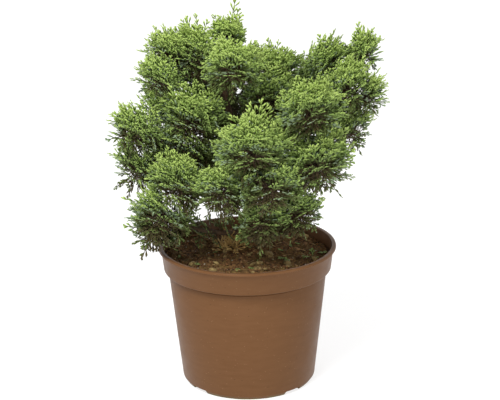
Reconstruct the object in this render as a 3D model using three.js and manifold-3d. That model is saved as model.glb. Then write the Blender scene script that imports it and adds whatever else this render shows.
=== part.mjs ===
// A dwarf hinoki cypress in a round plastic nursery pot.
// Millimetres, +Z up. The origin is on the ground, on the pot's axis, and the plant's front faces -Y.
// The trunk forks into two leaders. Boughs leave them, and each carries one to three dense masses of foliage.
import * as THREE from "three";
import { mergeVertices } from "three/addons/utils/BufferGeometryUtils.js";
import Module from "manifold-3d";

const wasm = await Module();
wasm.setup();

// ---- Driving dimensions ----

const CLEAR = 0.3; // air left between two solids that touch on the real plant

const POT = {
  height: 150,
  rimRadius: 95, // the rolled lip at the very top
  lipDepth: 3.2,
  lipEase: 0.8, // small bevels on the lip and under the collar
  collarTop: 92, // the straight collar under the lip
  collarFoot: 89.4,
  collarHeight: 25.5,
  bodyTop: 84.6, // the body steps in under the collar and tapers to the foot
  bodyFoot: 71.8,
  footRadius: 69,
  footBevel: 4, // the rounded corner between body and foot
  footRing: 6, // width of the ring that the pot stands on
  wall: 1.8,
  floorRise: 4, // the floor stands clear of the ground inside the foot ring
  floorThick: 2.2,
  sides: 44,
  slots: 4, // drain slots through the foot ring
  slotWidth: 21,
  slotHeight: 5.2,
  slotTurn: 41.3, // degrees from the front to the first slot
};

const SOIL = {
  gap: 0.9, // air between the faceted root ball and the pot's wall
  edge: 139, // height of the surface where it meets the wall
  middle: 142, // and of the gentle swell inside that
  swell: 0.6, // which begins at this share of the radius
  sides: 28,
  moundTop: 147, // the low mound round the trunk
  moundRadius: 15,
  moundSpread: 34,
};

const TRUNK = {
  foot: [2, 20], // where it leaves the soil, right of and behind the pot's axis
  fork: [-1, 14, 222],
  footRadius: 8.2,
  forkRadius: 6,
  flare: 4.6, // the roots swell the foot by this much, over flareHeight
  flareHeight: 16,
  flareLobes: 5,
  lean: 5, // sideways bow of the trunk between foot and fork
  sides: 11,
  steps: 7,
};

const CROWN_AXIS = [0, 15]; // the masses are placed round this upright line

const BOUGH = {
  slimmest: 1.5, // root radius of a bough: this much, and more by the number of masses above it
  growth: 1.3,
  tipShare: 0.5, // tip radius as a share of the root radius
  rise: 0.42, // how far a bough climbs from its root to its masses, as a share of its reach
  riseJitter: 0.3,
  lowest: 0.12, // no bough leaves its limb lower than this share along it
  sag: 0.1, // how far the middle hangs below the straight line, as a share of its length
  stop: 0.85, // the tip is this far short of its masses' middle, as a share of their radius
  sides: 5,
  steps: 4,
};

const TUFT = {
  stem: 1.5, // radius of the stem at the bough's tip
  core: 0.72, // radius of the dense middle, as a share of the tuft's radius
  coreJitter: 0.3,
  fans: 7,
  spread: 160, // degrees from the heading to the outermost fan
  goldenTurn: 137.508,
  roll: 38, // seeded roll of a fan about its own length, in degrees either way
  back: 45, // the tufts face away from an upright line this far behind the crown's axis
  dip: 0.8, // and downwards by this much, so that their fans rise over them from below
  pairGap: 2.2, // stems that share a tip stand this far from its middle
  smaller: 0.12, // a fan that doesn't fit is made smaller in steps of this share
  smallest: 0.5, // down to this share of its size, and then it is left out
};

const FAN = {
  jitter: 0.16, // a fan reaches the tuft's radius, or up to this share less
  base: 0.24, // the blade begins this far along the fan
  centre: 0.6,
  width: 0.5, // half the blade's width, as a share of its length
  teeth: 4,
  notch: 0.7, // depth of the cuts between the teeth
  thick: 1.7,
  cup: 0.2, // how far the rim curls up, as a share of its length
  twig: 1.1, // radius of the twig that carries the blade, which ends inside it
  twigEnd: 0.48,
};

// a long shoot is a narrow blade, with a tooth at its tip
const SHOOT = {
  width: 0.2,
  teeth: 5,
  notch: 0.6,
};

// The crown: each bough with the limb that it leaves and the masses of foliage that it carries.
// A mass is given by its heading from the crown's axis (degrees from +X towards +Y), its reach from there,
// its height and its radius.
const CROWN = {
  left_leader: { on: "trunk", masses: [[-157, 52, 358, 36], [-142, 21, 374, 22]] },
  right_leader: { on: "trunk", masses: [[-10, 88, 348, 28], [-7, 119, 355, 28]] },
  // high on the left
  crown_left: { on: "left_leader", masses: [[-169, 77, 357, 32], [-161, 90, 335, 29]] },
  crown_front: { on: "left_leader", masses: [[-101, 64, 352, 34]] },
  crown_back: { on: "left_leader", masses: [[139, 72, 331, 38], [82, 62, 317, 35]] },
  // the left side
  left_arm: { on: "left_leader", masses: [[-160, 118, 281, 34], [-165, 115, 240, 34]] },
  left_fold: { on: "left_leader", masses: [[-147, 66, 292, 44]] },
  left_ledge: { on: "trunk", masses: [[-135, 96, 232, 38], [-152, 68, 259, 40]] },
  skirt_left: { on: "trunk", masses: [[-145, 105, 197, 38], [-155, 106, 176, 30]] },
  // the front
  front_upper: { on: "left_leader", masses: [[-86, 98, 274, 44]] },
  front_low: { on: "trunk", masses: [[-106, 90, 230, 36], [-77, 99, 238, 38]] },
  skirt_front: { on: "trunk", masses: [[-78, 78, 195, 31], [-52, 79, 199, 33]] },
  // the right side
  saddle: { on: "right_leader", masses: [[-11, 34, 335, 31], [-53, 38, 312, 35]] },
  right_shoulder: { on: "right_leader", masses: [[-28, 113, 328, 34]] },
  front_right: { on: "right_leader", masses: [[-52, 105, 311, 40]] },
  right_arm: { on: "right_leader", masses: [[-20, 127, 316, 27], [-18, 112, 279, 29]] },
  right_low: { on: "trunk", masses: [[-47, 103, 255, 43]] },
  // the back
  crown_right: { on: "right_leader", masses: [[32, 86, 325, 32]] },
  back_left: { on: "left_leader", masses: [[158, 92, 284, 40], [112, 76, 283, 40]] },
  back_right: { on: "right_leader", masses: [[62, 76, 280, 39], [18, 100, 262, 36]] },
  back_low: { on: "trunk", masses: [[155, 88, 217, 39], [98, 70, 211, 38], [40, 82, 212, 38]] },
};

// The long shoots that stand out of a mass: heading, lift above level and reach from the mass's middle.
const SHOOTS = {
  left_leader_1: [[180, 74, 42], [0, 72, 38], [180, 50, 38]],
  left_leader_2: [[0, 78, 42], [0, 55, 28], [180, 66, 25]],
  right_leader_2: [[180, 87, 34], [0, 61, 29], [0, 38, 28]],
  crown_left_2: [[180, 38, 30]],
  left_arm_1: [[180, -14, 34], [0, 78, 34]],
  skirt_left_1: [[180, -62, 52], [-150, -50, 42]],
  skirt_left_2: [[180, 10, 34]],
  skirt_front_1: [[-109, -71, 36]],
  right_arm_1: [[0, 27, 30]],
  crown_front: [[0, 48, 38]],
  right_leader_1: [[180, 68, 31]],
  right_low: [[0, 20, 44], [0, 2, 40]],
};

// ---- Helpers ----

const radians = THREE.MathUtils.degToRad;

// The same number between 0 and 1 each time for the same three counters.
function chance(a, b, c) {
  const wave = Math.sin(a * 12.9898 + b * 78.233 + c * 37.719) * 43758.5453;
  return wave - Math.floor(wave);
}

function solidOf(geometry) {
  const bare = geometry.clone();
  bare.deleteAttribute("normal");
  bare.deleteAttribute("uv");
  const { index, attributes } = mergeVertices(bare, 1e-3);
  return new wasm.Manifold(
    new wasm.Mesh({
      numProp: 3,
      vertProperties: attributes.position.array,
      triVerts: new Uint32Array(index.array),
    }),
  );
}

function geometryOf(solid) {
  const { numProp, numVert, vertProperties, triVerts } = solid.getMesh();
  const points = new Float32Array(numVert * 3);
  for (let i = 0; i < numVert; i++) {
    points.set(vertProperties.subarray(i * numProp, i * numProp + 3), i * 3);
  }
  const geometry = new THREE.BufferGeometry();
  geometry.setAttribute("position", new THREE.BufferAttribute(points, 3));
  geometry.setIndex(new THREE.BufferAttribute(new Uint32Array(triVerts), 1));
  geometry.computeVertexNormals();
  return geometry;
}

const largest = (solid) => solid.decompose().sort((a, b) => b.volume() - a.volume())[0];
const union = (solids) => solids.reduce((whole, next) => whole.add(next));

// A direction from its heading (degrees from +X towards +Y) and its lift above level.
function direction(heading, lift) {
  const flat = Math.cos(radians(lift));
  return new THREE.Vector3(
    flat * Math.cos(radians(heading)),
    flat * Math.sin(radians(heading)),
    Math.sin(radians(lift)),
  );
}

// Moves the points of a geometry that stands along +Z from 0 to 1 onto a curve.
// The function `widen` gives each point's own scale.
function bendAlong(geometry, curve, steps, widen = () => 1) {
  const frames = curve.computeFrenetFrames(steps, false);
  const at = geometry.getAttribute("position");
  const point = new THREE.Vector3();
  for (let i = 0; i < at.count; i++) {
    point.fromBufferAttribute(at, i);
    const step = Math.round(point.z * steps);
    const scale = widen(point, step / steps);
    const bent = curve
      .getPointAt(step / steps)
      .addScaledVector(frames.normals[step], point.x * scale)
      .addScaledVector(frames.binormals[step], point.y * scale);
    at.setXYZ(i, bent.x, bent.y, bent.z);
  }
  return geometry;
}

// A tapering rod of unit length that stands along +Z on the origin, closed at both ends.
function taperedRod(rootRadius, tipRadius, sides, steps) {
  return new THREE.CylinderGeometry(tipRadius, rootRadius, 1, sides, steps)
    .rotateX(Math.PI / 2)
    .translate(0, 0, 0.5);
}

// ---- Pot and soil ----

const collarBottom = POT.height - POT.collarHeight;

// Turns a profile of [radius, height] points about the upright axis.
function turned(profile, sides) {
  const points = profile.map(([radius, height]) => new THREE.Vector2(radius, height));
  return solidOf(new THREE.LatheGeometry(points, sides).rotateX(Math.PI / 2));
}

function potSolid() {
  const p = POT;
  const outside = [
    [0, p.floorRise],
    [p.footRadius - p.footRing, p.floorRise],
    [p.footRadius - p.footRing, 0],
    [p.footRadius, 0],
    [p.bodyFoot, p.footBevel],
    [p.bodyTop, collarBottom],
    [p.collarFoot - p.lipEase, collarBottom],
    [p.collarFoot, collarBottom + p.lipEase],
    [p.collarTop, p.height - p.lipDepth],
    [p.rimRadius, p.height - p.lipDepth + p.lipEase],
    [p.rimRadius - p.lipEase, p.height],
  ];
  const inside = [
    [p.collarTop - p.wall, p.height],
    [p.collarFoot - p.wall, collarBottom + p.wall],
    [p.bodyTop - p.wall, collarBottom],
    [p.bodyFoot - p.wall, p.floorRise + p.floorThick],
    [0, p.floorRise + p.floorThick],
  ];
  const body = turned([...outside, ...inside], p.sides);
  const slots = Array.from({ length: p.slots }, (_, i) => {
    const cutter = new THREE.BoxGeometry(p.slotWidth, 4 * p.footRing, 2 * p.slotHeight)
      .translate(0, -p.footRadius, 0)
      .rotateZ(radians(p.slotTurn + (i * 360) / p.slots));
    return solidOf(cutter);
  });
  // the cutters stop under the floor, so that the slots open below it
  return body.subtract(union(slots).trimByPlane([0, 0, -1], -p.floorRise));
}

// The filled root ball: it follows the inside of the pot from just above the floor.
function soilSolid() {
  const s = SOIL;
  const floor = POT.floorRise + POT.floorThick + CLEAR;
  const collarInside = POT.collarFoot - POT.wall - s.gap;
  const ball = turned(
    [
      [0, floor],
      [POT.bodyFoot - POT.wall - s.gap, floor],
      [POT.bodyTop - POT.wall - s.gap, collarBottom - CLEAR],
      [collarInside, collarBottom + 2 * POT.wall],
      [collarInside, s.edge],
      [collarInside * s.swell, s.middle],
      [0, s.middle],
    ],
    s.sides,
  );
  const moundHeight = s.moundTop - s.edge;
  const mound = new THREE.CylinderGeometry(s.moundRadius, s.moundSpread, moundHeight, s.sides / 2)
    .rotateX(Math.PI / 2)
    .translate(TRUNK.foot[0], TRUNK.foot[1], s.edge + moundHeight / 2);
  return ball.add(solidOf(mound));
}

// ---- Trunk and boughs ----

const soilTop = SOIL.moundTop + CLEAR;

function trunkCurve() {
  const foot = new THREE.Vector3(...TRUNK.foot, soilTop);
  const fork = new THREE.Vector3(...TRUNK.fork);
  const bow = foot.clone().lerp(fork, 0.5);
  bow.x += TRUNK.lean;
  // the lower control point stands straight above the foot, so that the cut on the ground is level
  const upright = new THREE.Vector3(...TRUNK.foot, soilTop + (fork.z - soilTop) * 0.3);
  return new THREE.CubicBezierCurve3(foot, upright, bow, fork);
}

function trunkSolid(grow = 0) {
  const t = TRUNK;
  const height = t.fork[2] - soilTop;
  const rod = taperedRod(t.footRadius + grow, t.forkRadius + grow, t.sides, t.steps);
  const flared = (point, share) => {
    const rise = share * height;
    const swell = Math.max(0, 1 - rise / t.flareHeight) ** 2 * (t.flare / t.footRadius);
    const lobes = 1 + 0.35 * Math.cos(Math.atan2(point.y, point.x) * t.flareLobes);
    return 1 + swell * lobes;
  };
  return solidOf(bendAlong(rod, trunkCurve(), t.steps, flared));
}

// How many masses a bough carries, on itself and on the boughs that leave it.
function load(name) {
  const above = Object.keys(CROWN).filter((other) => CROWN[other].on === name);
  return above.reduce((sum, other) => sum + load(other), CROWN[name].masses.length);
}

const middleOf = ([heading, reach, height]) =>
  direction(heading, 0)
    .multiplyScalar(reach)
    .add(new THREE.Vector3(CROWN_AXIS[0], CROWN_AXIS[1], height));

// The share along a limb at which it comes up to a height, or 1 where that is above its tip.
function shareAtHeight(curve, height) {
  const steps = 50;
  for (let i = Math.round(BOUGH.lowest * steps); i < steps; i++) {
    if (curve.getPointAt(i / steps).z >= height) {
      return i / steps;
    }
  }
  return 1;
}

function boughCurve(name, parentCurve) {
  const { masses } = CROWN[name];
  const middle = masses
    .reduce((sum, mass) => sum.add(middleOf(mass)), new THREE.Vector3())
    .divideScalar(masses.length);
  const reach = Math.hypot(middle.x - CROWN_AXIS[0], middle.y - CROWN_AXIS[1]);
  const climb = BOUGH.rise + BOUGH.riseJitter * (chance(reach, middle.z, 1) - 0.5);
  const root = parentCurve.getPointAt(shareAtHeight(parentCurve, middle.z - climb * reach));
  const along = middle.clone().sub(root);
  const tip = root.clone().addScaledVector(along, 1 - (BOUGH.stop * masses[0][3]) / along.length());
  const bend = root.clone().lerp(tip, 0.5);
  bend.z -= BOUGH.sag * root.distanceTo(tip);
  return new THREE.QuadraticBezierCurve3(root, bend, tip);
}

function boughSolid(name, curve, grow = 0) {
  const root = BOUGH.slimmest + BOUGH.growth * Math.sqrt(load(name));
  const rod = taperedRod(root + grow, root * BOUGH.tipShare + grow, BOUGH.sides, BOUGH.steps);
  return solidOf(bendAlong(rod, curve, BOUGH.steps));
}

// Every limb by name: its centre line, its solid and the same solid grown by the clearance.
function growLimbs() {
  const limbs = { trunk: { curve: trunkCurve(), solid: trunkSolid(), grown: trunkSolid(CLEAR) } };
  let taken = limbs.trunk.grown;
  for (const name of Object.keys(CROWN)) {
    const curve = boughCurve(name, limbs[CROWN[name].on].curve);
    const solid = largest(boughSolid(name, curve).subtract(taken));
    limbs[name] = { curve, solid, grown: boughSolid(name, curve, CLEAR) };
    taken = taken.add(limbs[name].grown);
  }
  return limbs;
}

// ---- Tufts of foliage ----

// Each tuft: its name, the point where its stem leaves the bough, the hub where its fans part, its heading.
function placeTufts(limbs) {
  return Object.entries(CROWN).flatMap(([bough, { masses }], row) => {
    const tip = limbs[bough].curve.getPointAt(1);
    const ways = masses.map((mass) => middleOf(mass).sub(tip).normalize());
    const common = ways.reduce((sum, way) => sum.add(way), new THREE.Vector3()).normalize();
    return masses.map((mass, k) => {
      const hub = middleOf(mass);
      const start = tip.clone();
      if (masses.length > 1) {
        start.addScaledVector(ways[k].clone().sub(common).normalize(), TUFT.pairGap);
      }
      const ahead = new THREE.Vector3(hub.x - CROWN_AXIS[0], hub.y - CROWN_AXIS[1] - TUFT.back, 0);
      ahead.normalize().setZ(-TUFT.dip).normalize();
      const own = bough + (masses.length > 1 ? `_${k + 1}` : "");
      const shoots = SHOOTS[own] ?? [];
      const seed = 4 * row + k + 1;
      return { name: `foliage_${own}`, bough, start, hub, ahead, radius: mass[3], shoots, seed };
    });
  });
}

// A tuft's own space is cut off by one plane between its ball and each other tuft's. Each plane is given by
// its normal, which points out of the space, and by its distance from the origin along that normal.
function wallsOf(tuft, tufts) {
  const weight = (t) => t.radius ** 2;
  return tufts
    .filter((other) => other !== tuft)
    .map((other) => {
      const normal = other.hub.clone().sub(tuft.hub);
      const gap = normal.length();
      normal.divideScalar(gap);
      const share = gap / 2 + (weight(tuft) - weight(other)) / (2 * gap);
      return { normal, distance: normal.dot(tuft.hub) + share - CLEAR };
    });
}

function stemSolid(tuft, grow = 0) {
  const rod = taperedRod(TUFT.stem + grow, TUFT.stem * 0.75 + grow, 4, 1);
  return solidOf(bendAlong(rod, new THREE.LineCurve3(tuft.start, tuft.hub), 1));
}

// The directions in which a tuft's fans grow: a spiral over a dome about its heading.
function fanFrame(tuft, i) {
  const order = (i + 0.2 + 0.6 * chance(tuft.seed, i, 1)) / TUFT.fans;
  const polar = Math.acos(1 - order * (1 - Math.cos(radians(TUFT.spread))));
  const turn = radians(i * TUFT.goldenTurn + 360 * chance(tuft.seed, 0, 2));
  const side = new THREE.Vector3(0, 0, 1).cross(tuft.ahead).normalize();
  const over = tuft.ahead.clone().cross(side);
  const out = side.multiplyScalar(Math.cos(turn)).addScaledVector(over, Math.sin(turn));
  const along = tuft.ahead
    .clone()
    .multiplyScalar(Math.cos(polar))
    .addScaledVector(out, Math.sin(polar));
  // the blade's face looks inwards, towards the heading, as a petal's does
  const face = tuft.ahead
    .clone()
    .multiplyScalar(Math.sin(polar))
    .addScaledVector(out, -Math.cos(polar));
  face.applyAxisAngle(along, radians(TUFT.roll * (2 * chance(tuft.seed, i, 3) - 1)));
  const length = tuft.radius * (1 - FAN.jitter * chance(tuft.seed, i, 4));
  return { along, face, length, outline: FAN };
}

// A long shoot is a narrow blade that faces the front.
function shootFrame([heading, lift, length]) {
  const along = direction(heading, lift);
  const face = new THREE.Vector3(0, -1, 0.3).projectOnPlane(along).normalize();
  return { along, face, length, outline: SHOOT };
}

// A toothed blade: a low sphere of two bands whose rim is drawn out to the fan's outline, then cupped.
function bladeGeometry(length, { width, teeth, notch }) {
  const rim = 2 * teeth + 2;
  const blade = new THREE.SphereGeometry(1, rim, 2).rotateY(Math.PI);
  const at = blade.getAttribute("position");
  for (let i = 0; i < at.count; i++) {
    const onRim = Math.abs(at.getY(i)) < 0.5;
    const spoke = Math.round((Math.atan2(-at.getZ(i), -at.getX(i)) / (2 * Math.PI)) * rim);
    const angle = (spoke * 2 * Math.PI) / rim; // 0 at the blade's root, half a turn at its tip
    const tooth = Math.abs(spoke) % 2 === 0;
    const half = spoke === 0 ? FAN.centre - FAN.base : 1 - FAN.centre;
    const oval = Math.hypot(Math.cos(angle) * half, Math.sin(angle) * width);
    const radius = onRim ? oval * (tooth ? 1 : notch) * length : 0;
    const ahead = FAN.centre * length - Math.cos(angle) * radius;
    const cup = (FAN.cup * radius * radius) / length;
    const skin = onRim ? 0 : (at.getY(i) * FAN.thick) / 2;
    at.setXYZ(i, ahead, cup + skin, -Math.sin(angle) * radius);
  }
  return blade;
}

function fanSolid(tuft, { along, face, length, outline }) {
  const across = along.clone().cross(face);
  const frame = new THREE.Matrix4().makeBasis(along, face, across).setPosition(tuft.hub);
  const blade = solidOf(bladeGeometry(length, outline).applyMatrix4(frame));
  const end = tuft.hub.clone().addScaledVector(along, FAN.twigEnd * length);
  const rod = taperedRod(FAN.twig, FAN.twig * 0.6, 3, 1);
  return blade.add(solidOf(bendAlong(rod, new THREE.LineCurve3(tuft.hub, end), 1)));
}

// The dense middle: an uneven ball, cut back to the tuft's own space and clear of the limbs and other stems.
function coreSolid(tuft, walls, inTheWay) {
  const ball = new THREE.IcosahedronGeometry(TUFT.core * tuft.radius);
  const at = ball.getAttribute("position");
  const point = new THREE.Vector3();
  for (let i = 0; i < at.count; i++) {
    point.fromBufferAttribute(at, i);
    const [x, y, z] = point.toArray().map(Math.round);
    point.multiplyScalar(1 + TUFT.coreJitter * (chance(x, y, z + tuft.seed) - 0.5));
    at.setXYZ(i, ...point.add(tuft.hub));
  }
  const cut = walls.reduce(
    (core, { normal, distance }) => core.trimByPlane(normal.clone().negate().toArray(), -distance),
    solidOf(ball),
  );
  return largest(inTheWay.reduce((core, other) => core.subtract(other), cut));
}

const pointsOf = (solid) => {
  const { numProp, numVert, vertProperties } = solid.getMesh();
  return Array.from({ length: numVert }, (_, i) =>
    new THREE.Vector3().fromArray(vertProperties, i * numProp),
  );
};

// One tuft: stem, core, long shoots and fans in one solid. A fan that would leave the tuft's space or touch
// a limb is made smaller, and left out if it still doesn't fit.
function tuftSolid(tuft, tufts, limbs, obstacles) {
  const others = tufts.filter((other) => other !== tuft);
  const walls = wallsOf(tuft, tufts);
  const inside = (point) => walls.every(({ normal, distance }) => normal.dot(point) < distance);
  const fits = (solid) =>
    pointsOf(solid).every(inside) &&
    obstacles.every((other) => solid.minGap(other, 2 * CLEAR) > CLEAR);
  const pieces = [
    largest(stemSolid(tuft).subtract(limbs[tuft.bough].grown)),
    coreSolid(tuft, walls, [
      ...Object.values(limbs).map(({ grown }) => grown),
      ...others.map((other) => stemSolid(other, CLEAR)),
    ]),
  ];
  const fans = Array.from({ length: TUFT.fans }, (_, i) => fanFrame(tuft, i));
  for (const frame of [...tuft.shoots.map(shootFrame), ...fans]) {
    for (let share = 1; share > TUFT.smallest; share -= TUFT.smaller) {
      const fan = fanSolid(tuft, { ...frame, length: frame.length * share });
      if (fits(fan)) {
        pieces.push(fan);
        break;
      }
    }
  }
  return largest(union(pieces));
}

// ---- The plant ----

const paint = (color, roughness) => new THREE.MeshStandardMaterial({ color, roughness, metalness: 0 });
const MATERIALS = {
  pot: paint("#7d583c", 0.45),
  soil: paint("#3a2618", 0.95),
  bark: paint("#5b4330", 0.85),
  foliage: paint("#5f8238", 0.7),
};

const plant = new THREE.Group();

function addNode(name, solid, material) {
  const mesh = new THREE.Mesh(geometryOf(solid), material);
  mesh.name = name;
  plant.add(mesh);
}

const pot = potSolid();
const soil = soilSolid();
const limbs = growLimbs();
const tufts = placeTufts(limbs);

addNode("pot", pot, MATERIALS.pot);
addNode("soil", soil, MATERIALS.soil);
addNode("trunk", limbs.trunk.solid, MATERIALS.bark);
for (const name of Object.keys(CROWN)) {
  addNode(`bough_${name}`, limbs[name].solid, MATERIALS.bark);
}

for (const tuft of tufts) {
  const obstacles = [
    pot,
    soil,
    ...Object.values(limbs).map(({ solid }) => solid),
    ...tufts.filter((other) => other !== tuft).map((other) => stemSolid(other)),
  ];
  addNode(tuft.name, tuftSolid(tuft, tufts, limbs, obstacles), MATERIALS.foliage);
}

export default plant;
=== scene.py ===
# %% [markdown]
# # A dwarf hinoki cypress in a nursery pot
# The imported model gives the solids: pot, root ball, trunk, boughs and masses of foliage. This lesson
# dresses them. The pot gets a finer wall, the root ball a loose surface, the limbs their bark, and each
# mass is grown again as twigs and flat sprays of scale leaves. Every size is in metres, in the model's own
# frame.

# %% Load the frame
import math

import bmesh
import bpy
import numpy as np
from mathutils import Matrix, Vector, noise


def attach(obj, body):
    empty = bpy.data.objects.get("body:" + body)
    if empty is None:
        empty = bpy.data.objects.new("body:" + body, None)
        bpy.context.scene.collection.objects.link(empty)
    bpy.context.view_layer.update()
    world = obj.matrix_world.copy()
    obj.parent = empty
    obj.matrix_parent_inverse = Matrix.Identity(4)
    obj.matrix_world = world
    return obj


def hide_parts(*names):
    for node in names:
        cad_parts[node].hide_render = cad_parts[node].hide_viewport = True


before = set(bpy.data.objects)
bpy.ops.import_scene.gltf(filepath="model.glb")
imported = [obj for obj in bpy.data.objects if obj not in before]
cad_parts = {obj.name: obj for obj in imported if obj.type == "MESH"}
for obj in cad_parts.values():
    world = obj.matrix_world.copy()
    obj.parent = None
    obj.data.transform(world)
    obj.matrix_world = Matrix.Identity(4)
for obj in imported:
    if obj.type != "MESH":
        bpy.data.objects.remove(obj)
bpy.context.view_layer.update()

MM = 0.001
print("solids:", len(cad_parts))

# %% [markdown]
# ## Camera
# The plant is seen from the front and a little above, from about 1.56 metres away through a long lens, so
# the pot's sides stay nearly parallel. The camera looks at a point on the pot's axis and needs no shift.

# %% Camera
EYE = Vector((0, -1.4845, 0.6718))
AIM = Vector((0.0036, 0, 0.1985))
LENS = 106.1  # on a sensor 36 mm wide
ROLL = math.radians(-0.78)


def add_camera():
    data = bpy.data.cameras.new("camera")
    data.lens = LENS
    camera = bpy.data.objects.new("camera", data)
    bpy.context.scene.collection.objects.link(camera)
    turn = (AIM - EYE).to_track_quat("-Z", "Y").to_matrix().to_4x4()
    camera.matrix_world = Matrix.Translation(EYE) @ turn @ Matrix.Rotation(ROLL, 4, "Z")
    bpy.context.scene.camera = camera
    print("camera distance:", round((AIM - EYE).length, 3))


add_camera()

# %% [markdown]
# ## Stage and light
# A pale sweep runs under the pot and up behind it, so that no horizon shows. One large soft light hangs
# above and in front, which leaves the insides of the foliage dark, and two weaker ones open the sides.

# %% Small helpers for pieces
PIECES = []


def add_mesh(name, mesh, material=None):
    piece = bpy.data.objects.new(name, mesh)
    bpy.context.scene.collection.objects.link(piece)
    if material:
        mesh.materials.append(material)
    return piece


def add_piece(name, mesh, material, replaced=()):
    """Links a finished mesh, lets it ride with the plant and counts its triangles."""
    piece = add_mesh(name, mesh, material)
    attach(piece, "root")
    if replaced:
        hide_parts(*replaced)
    triangles = sum(len(face.vertices) - 2 for face in mesh.polygons)
    PIECES.append((name, triangles))
    print(f"{name}: {triangles} triangles")
    return piece


def mesh_of(name, bm):
    mesh = bpy.data.meshes.new(name)
    bm.to_mesh(mesh)
    bm.free()
    return mesh


def extruded(bm, edges):
    """Extrudes edges, and gives back the new edges and their points."""
    made = bmesh.ops.extrude_edge_only(bm, edges=edges)["geom"]
    return [[g for g in made if isinstance(g, kind)] for kind in (bmesh.types.BMEdge, bmesh.types.BMVert)]


def shade_smooth(mesh):
    mesh.polygons.foreach_set("use_smooth", [True] * len(mesh.polygons))
    return mesh


# %% Stage and lights
SWEEP = {"front": -3.5, "back": 2.2, "rise": 3.2, "half_width": 4.5, "curve": 0.9, "steps": 12}


def sweep_mesh():
    """A sheet made of one edge pushed back along the floor, round a curve and up."""
    bm = bmesh.new()
    ends = [bm.verts.new((side * SWEEP["half_width"], SWEEP["front"], 0)) for side in (-1, 1)]
    edges = [bm.edges.new(ends)]
    path = []
    for step in range(SWEEP["steps"] + 1):
        angle = math.radians(90 * step / SWEEP["steps"])
        y = SWEEP["back"] - SWEEP["curve"] * (1 - math.sin(angle))
        path.append((y, SWEEP["curve"] * (1 - math.cos(angle))))
    path.append((SWEEP["back"], SWEEP["rise"]))
    before = Vector((0, SWEEP["front"], 0))
    for y, z in path:
        edges, moved = extruded(bm, edges)
        bmesh.ops.translate(bm, verts=moved, vec=Vector((0, y, z)) - before)
        before = Vector((0, y, z))
    bmesh.ops.recalc_face_normals(bm, faces=bm.faces)
    return mesh_of("sweep", bm)


def sweep_material():
    """Pale grey that also glows a little, so that it renders as an even white."""
    material = bpy.data.materials.new("pale_sweep")
    material.use_nodes = True
    shader = material.node_tree.nodes["Principled BSDF"]
    shader.inputs["Base Color"].default_value = (0.35, 0.35, 0.35, 1)
    shader.inputs["Roughness"].default_value = 0.9
    shader.inputs["Emission Color"].default_value = (1, 1, 1, 1)
    shader.inputs["Emission Strength"].default_value = 0.75
    return material


def add_area_light(name, place, target, size, power):
    data = bpy.data.lights.new(name, "AREA")
    data.shape = "DISK"
    data.size = size
    data.energy = power
    light = bpy.data.objects.new(name, data)
    bpy.context.scene.collection.objects.link(light)
    aim = (Vector(target) - Vector(place)).to_track_quat("-Z", "Y")
    light.matrix_world = Matrix.Translation(place) @ aim.to_matrix().to_4x4()


def add_studio():
    sweep = add_mesh("sweep", shade_smooth(sweep_mesh()), sweep_material())
    middle = (0, 0, 0.22)
    add_area_light("key_light", (-0.7, -1.2, 2.1), middle, 1.0, 52)
    add_area_light("fill_light", (1.9, -1.6, 0.9), middle, 1.6, 12)
    add_area_light("front_light", (-0.6, -2.6, 0.55), middle, 1.6, 12)
    world = bpy.data.worlds.new("studio")
    world.use_nodes = True
    background = world.node_tree.nodes["Background"]
    background.inputs["Color"].default_value = (1, 1, 1, 1)
    background.inputs["Strength"].default_value = 0.5
    bpy.context.scene.world = world
    bpy.context.scene.view_settings.view_transform = "Standard"
    print("lights: 3")


add_studio()

# %% [markdown]
# ## Materials
# Real surfaces are never one flat colour. Two small node groups are used again and again: one mottles a
# surface with soft noise, and one scatters small specks. Each group only puts out a mask. The shader itself
# stays in each material, with its roughness and specular level set on its own sockets.


# %% Node helpers
def srgb(red, green, blue):
    """A colour given by its 8-bit values, as the linear values that a shader takes."""

    def linear(value):
        share = value / 255
        return share / 12.92 if share <= 0.04045 else ((share + 0.055) / 1.055) ** 2.4

    return (linear(red), linear(green), linear(blue), 1)


def add_node(tree, kind, values=None, **settings):
    node = tree.nodes.new(kind)
    for key, value in settings.items():
        setattr(node, key, value)
    for key, value in (values or {}).items():
        node.inputs[key].default_value = value
    return node


def new_group(name, inputs, outputs):
    group = bpy.data.node_groups.new(name, "ShaderNodeTree")
    for label, value in inputs.items():
        kind = "NodeSocketVector" if value is None else "NodeSocketFloat"
        socket = group.interface.new_socket(name=label, in_out="INPUT", socket_type=kind)
        if value is not None:
            socket.default_value = value
    for label in outputs:
        group.interface.new_socket(name=label, in_out="OUTPUT", socket_type="NodeSocketFloat")
    return group, group.nodes.new("NodeGroupInput"), group.nodes.new("NodeGroupOutput")


def wire(tree, *pairs):
    """Links each pair, an output and the input that it feeds."""
    for start, end in pairs:
        tree.links.new(start, end)


# %% Mottle and specks
def mottle_group():
    """Soft noise of a given size, as a mask from 0 to 1."""
    group, given, result = new_group("mottle", {"Place": None, "Scale": 100, "Contrast": 1.6}, ["Mask"])
    cloud = add_node(group, "ShaderNodeTexNoise", {"Detail": 3, "Roughness": 0.6})
    centred = add_node(group, "ShaderNodeMath", {1: -0.5}, operation="ADD")
    spread = add_node(group, "ShaderNodeMath", operation="MULTIPLY")
    back = add_node(group, "ShaderNodeMath", {1: 0.5}, operation="ADD", use_clamp=True)
    wire(
        group,
        (given.outputs["Place"], cloud.inputs["Vector"]),
        (given.outputs["Scale"], cloud.inputs["Scale"]),
        (cloud.outputs["Fac"], centred.inputs[0]),
        (centred.outputs[0], spread.inputs[0]),
        (given.outputs["Contrast"], spread.inputs[1]),
        (spread.outputs[0], back.inputs[0]),
        (back.outputs[0], result.inputs["Mask"]),
    )
    return group


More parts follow.
